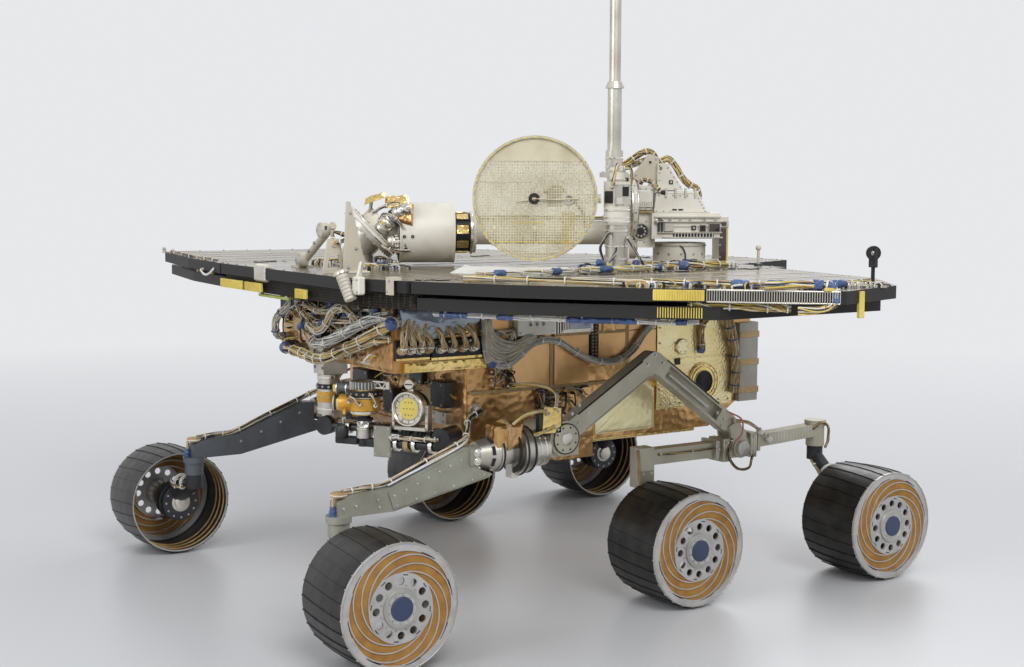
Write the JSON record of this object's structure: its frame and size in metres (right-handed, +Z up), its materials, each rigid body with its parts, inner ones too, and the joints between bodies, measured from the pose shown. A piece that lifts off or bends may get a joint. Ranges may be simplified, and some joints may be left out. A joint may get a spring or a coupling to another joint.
{
  "type": "six-wheeled planetary rover",
  "caption": "Wheeled planetary rover with a rocker-bogie suspension, steered corner wheels, folding solar deck, stowed camera mast, dish antenna and folded instrument arm.",
  "frame": {"origin": "on the ground, at the middle of the length and width", "axes": "+X forward, +Y to port, +Z up"},
  "size_m": [1.6062, 2.2, 1.4798],
  "materials": {
    "copper_foil": "crinkled",
    "dark_honeycomb": "satin",
    "solar_cells": "gloss",
    "white_paint": "matte",
    "bare_metal": "satin",
    "dark_metal": "satin",
    "olive_metal": "satin",
    "wheel_metal": "satin",
    "gold_foil": "crinkled",
    "grey_cloth": "rough",
    "white_cloth": "matte",
    "cable_wrap": "satin",
    "ochre_foam": "matte"
  },
  "bodies": {
    "chassis": {"body_box": "copper_foil", "deck_frame": "dark_honeycomb", "deck_panel": "solar_cells", "mast_base": "white_paint", "mast_rest": "white_paint", "antenna_stand": "bare_metal", "rod_antenna": "white_paint", "arm_mount": "bare_metal", "front_arm_port": "olive_metal", "deploy_motor_port": "dark_metal", "rocker_port": "olive_metal", "bogie_port": "olive_metal", "front_arm_starboard": "olive_metal", "deploy_motor_starboard": "dark_metal", "rocker_starboard": "olive_metal", "bogie_starboard": "olive_metal", "foil_tiles_port": "copper_foil", "foil_tiles_starboard": "copper_foil", "gold_panel_port": "gold_foil", "pale_panel_port": "gold_foil", "rear_blanket": "grey_cloth", "service_box_port": "white_paint", "relay_box_port": "bare_metal", "connector_row_port": "dark_metal", "nose_strip_port": "gold_foil", "side_harness": "cable_wrap", "nose_harness": "cable_wrap", "tail_harness": "cable_wrap", "arm_harness_port": "cable_wrap", "arm_harness_starboard": "cable_wrap", "deck_fittings": "bare_metal", "deck_cloth": "white_cloth"},
    "front_port_wheel": {"wheel_front_port": "wheel_metal", "wheel_foam_front_port": "ochre_foam"},
    "front_port_steering": {"steering_strut_front_port": "dark_metal"},
    "middle_port_wheel": {"wheel_middle_port": "wheel_metal", "wheel_foam_middle_port": "ochre_foam"},
    "rear_port_wheel": {"wheel_rear_port": "wheel_metal", "wheel_foam_rear_port": "ochre_foam"},
    "rear_port_steering": {"steering_strut_rear_port": "dark_metal"},
    "front_starboard_wheel": {"wheel_front_starboard": "wheel_metal", "wheel_foam_front_starboard": "ochre_foam"},
    "front_starboard_steering": {"steering_strut_front_starboard": "dark_metal"},
    "middle_starboard_wheel": {"wheel_middle_starboard": "wheel_metal", "wheel_foam_middle_starboard": "ochre_foam"},
    "rear_starboard_wheel": {"wheel_rear_starboard": "wheel_metal", "wheel_foam_rear_starboard": "ochre_foam"},
    "rear_starboard_steering": {"steering_strut_rear_starboard": "dark_metal"},
    "mast_assembly": {"mast": "white_paint", "mast_head": "white_paint"},
    "antenna_turntable": {"antenna_yoke": "bare_metal"},
    "antenna_reflector": {"antenna_dish": "white_paint"},
    "port_wing": {"wing_port": "solar_cells"},
    "starboard_wing": {"wing_starboard": "solar_cells"},
    "tail": {"tail_panel": "solar_cells"},
    "arm_turntable": {"arm_shoulder": "bare_metal"},
    "upper_link": {"arm_upper_link": "dark_metal"},
    "forearm": {"arm_forearm": "dark_metal"},
    "turret": {"arm_turret": "bare_metal"}
  },
  "joints": [
    {"name": "steer_front_port", "type": "hinge", "parent": "chassis", "child": "front_port_steering", "pos_m": [0.67, 0.4, 0.22], "axis": [0, 0, 1], "range_deg": [-60, 60]},
    {"name": "roll_front_port", "type": "hinge", "parent": "front_port_steering", "child": "front_port_wheel", "pos_m": [0.67, 0.5785, 0.1335], "axis": [0, 1, 0], "continuous": true},
    {"name": "roll_middle_port", "type": "hinge", "parent": "chassis", "child": "middle_port_wheel", "pos_m": [-0.118, 0.525, 0.1335], "axis": [0, 1, 0], "continuous": true},
    {"name": "steer_rear_port", "type": "hinge", "parent": "chassis", "child": "rear_port_steering", "pos_m": [-0.67, 0.4, 0.22], "axis": [0, 0, 1], "range_deg": [-60, 60]},
    {"name": "roll_rear_port", "type": "hinge", "parent": "rear_port_steering", "child": "rear_port_wheel", "pos_m": [-0.67, 0.5785, 0.1335], "axis": [0, 1, 0], "continuous": true},
    {"name": "steer_front_starboard", "type": "hinge", "parent": "chassis", "child": "front_starboard_steering", "pos_m": [0.67, -0.4, 0.22], "axis": [0, 0, 1], "range_deg": [-60, 60]},
    {"name": "roll_front_starboard", "type": "hinge", "parent": "front_starboard_steering", "child": "front_starboard_wheel", "pos_m": [0.67, -0.5785, 0.1335], "axis": [0, 1, 0], "continuous": true},
    {"name": "roll_middle_starboard", "type": "hinge", "parent": "chassis", "child": "middle_starboard_wheel", "pos_m": [-0.118, -0.525, 0.1335], "axis": [0, 1, 0], "continuous": true},
    {"name": "steer_rear_starboard", "type": "hinge", "parent": "chassis", "child": "rear_starboard_steering", "pos_m": [-0.67, -0.4, 0.22], "axis": [0, 0, 1], "range_deg": [-60, 60]},
    {"name": "roll_rear_starboard", "type": "hinge", "parent": "rear_starboard_steering", "child": "rear_starboard_wheel", "pos_m": [-0.67, -0.5785, 0.1335], "axis": [0, 1, 0], "continuous": true},
    {"name": "mast_deploy", "type": "hinge", "parent": "chassis", "child": "mast_assembly", "pos_m": [0.292, -0.17, 0.825], "axis": [-0.6328, 0.3155, 0.7071], "range_deg": [0, 180]},
    {"name": "antenna_azimuth", "type": "hinge", "parent": "chassis", "child": "antenna_turntable", "pos_m": [-0.08452, 0.33625, 0.88], "axis": [0, 0, -1], "range_deg": [-170, 0]},
    {"name": "antenna_elevation", "type": "hinge", "parent": "antenna_turntable", "child": "antenna_reflector", "pos_m": [0.073, 0.23, 0.912], "axis": [0.829, -0.5592, 0], "range_deg": [0, 90]},
    {"name": "wing_fold_port", "type": "hinge", "parent": "chassis", "child": "port_wing", "pos_m": [0, 0.425, 0.745], "axis": [1, 0, 0], "range_deg": [0, 90]},
    {"name": "wing_fold_starboard", "type": "hinge", "parent": "chassis", "child": "starboard_wing", "pos_m": [0, -0.425, 0.745], "axis": [-1, 0, 0], "range_deg": [0, 90]},
    {"name": "tail_fold", "type": "hinge", "parent": "chassis", "child": "tail", "pos_m": [-0.543, 0, 0.745], "axis": [0, 1, 0], "range_deg": [0, 90]},
    {"name": "shoulder_azimuth", "type": "hinge", "parent": "chassis", "child": "arm_turntable", "pos_m": [0.4877, -0.011, 0.504], "axis": [0, 0, 1], "range_deg": [-150, 0]},
    {"name": "shoulder_elevation", "type": "hinge", "parent": "arm_turntable", "child": "upper_link", "pos_m": [0.49277, -0.00779, 0.385], "axis": [0.8453, 0.5344, 0], "range_deg": [-70, 0]},
    {"name": "elbow", "type": "hinge", "parent": "upper_link", "child": "forearm", "pos_m": [0.33165, 0.28076, 0.385], "axis": [0.8453, 0.5344, 0], "range_deg": [0, 120]},
    {"name": "turret_turn", "type": "hinge", "parent": "forearm", "child": "turret", "pos_m": [0.46895, 0.13095, 0.427], "axis": [0, 0, 1], "range_deg": [-170, 170]}
  ]
}
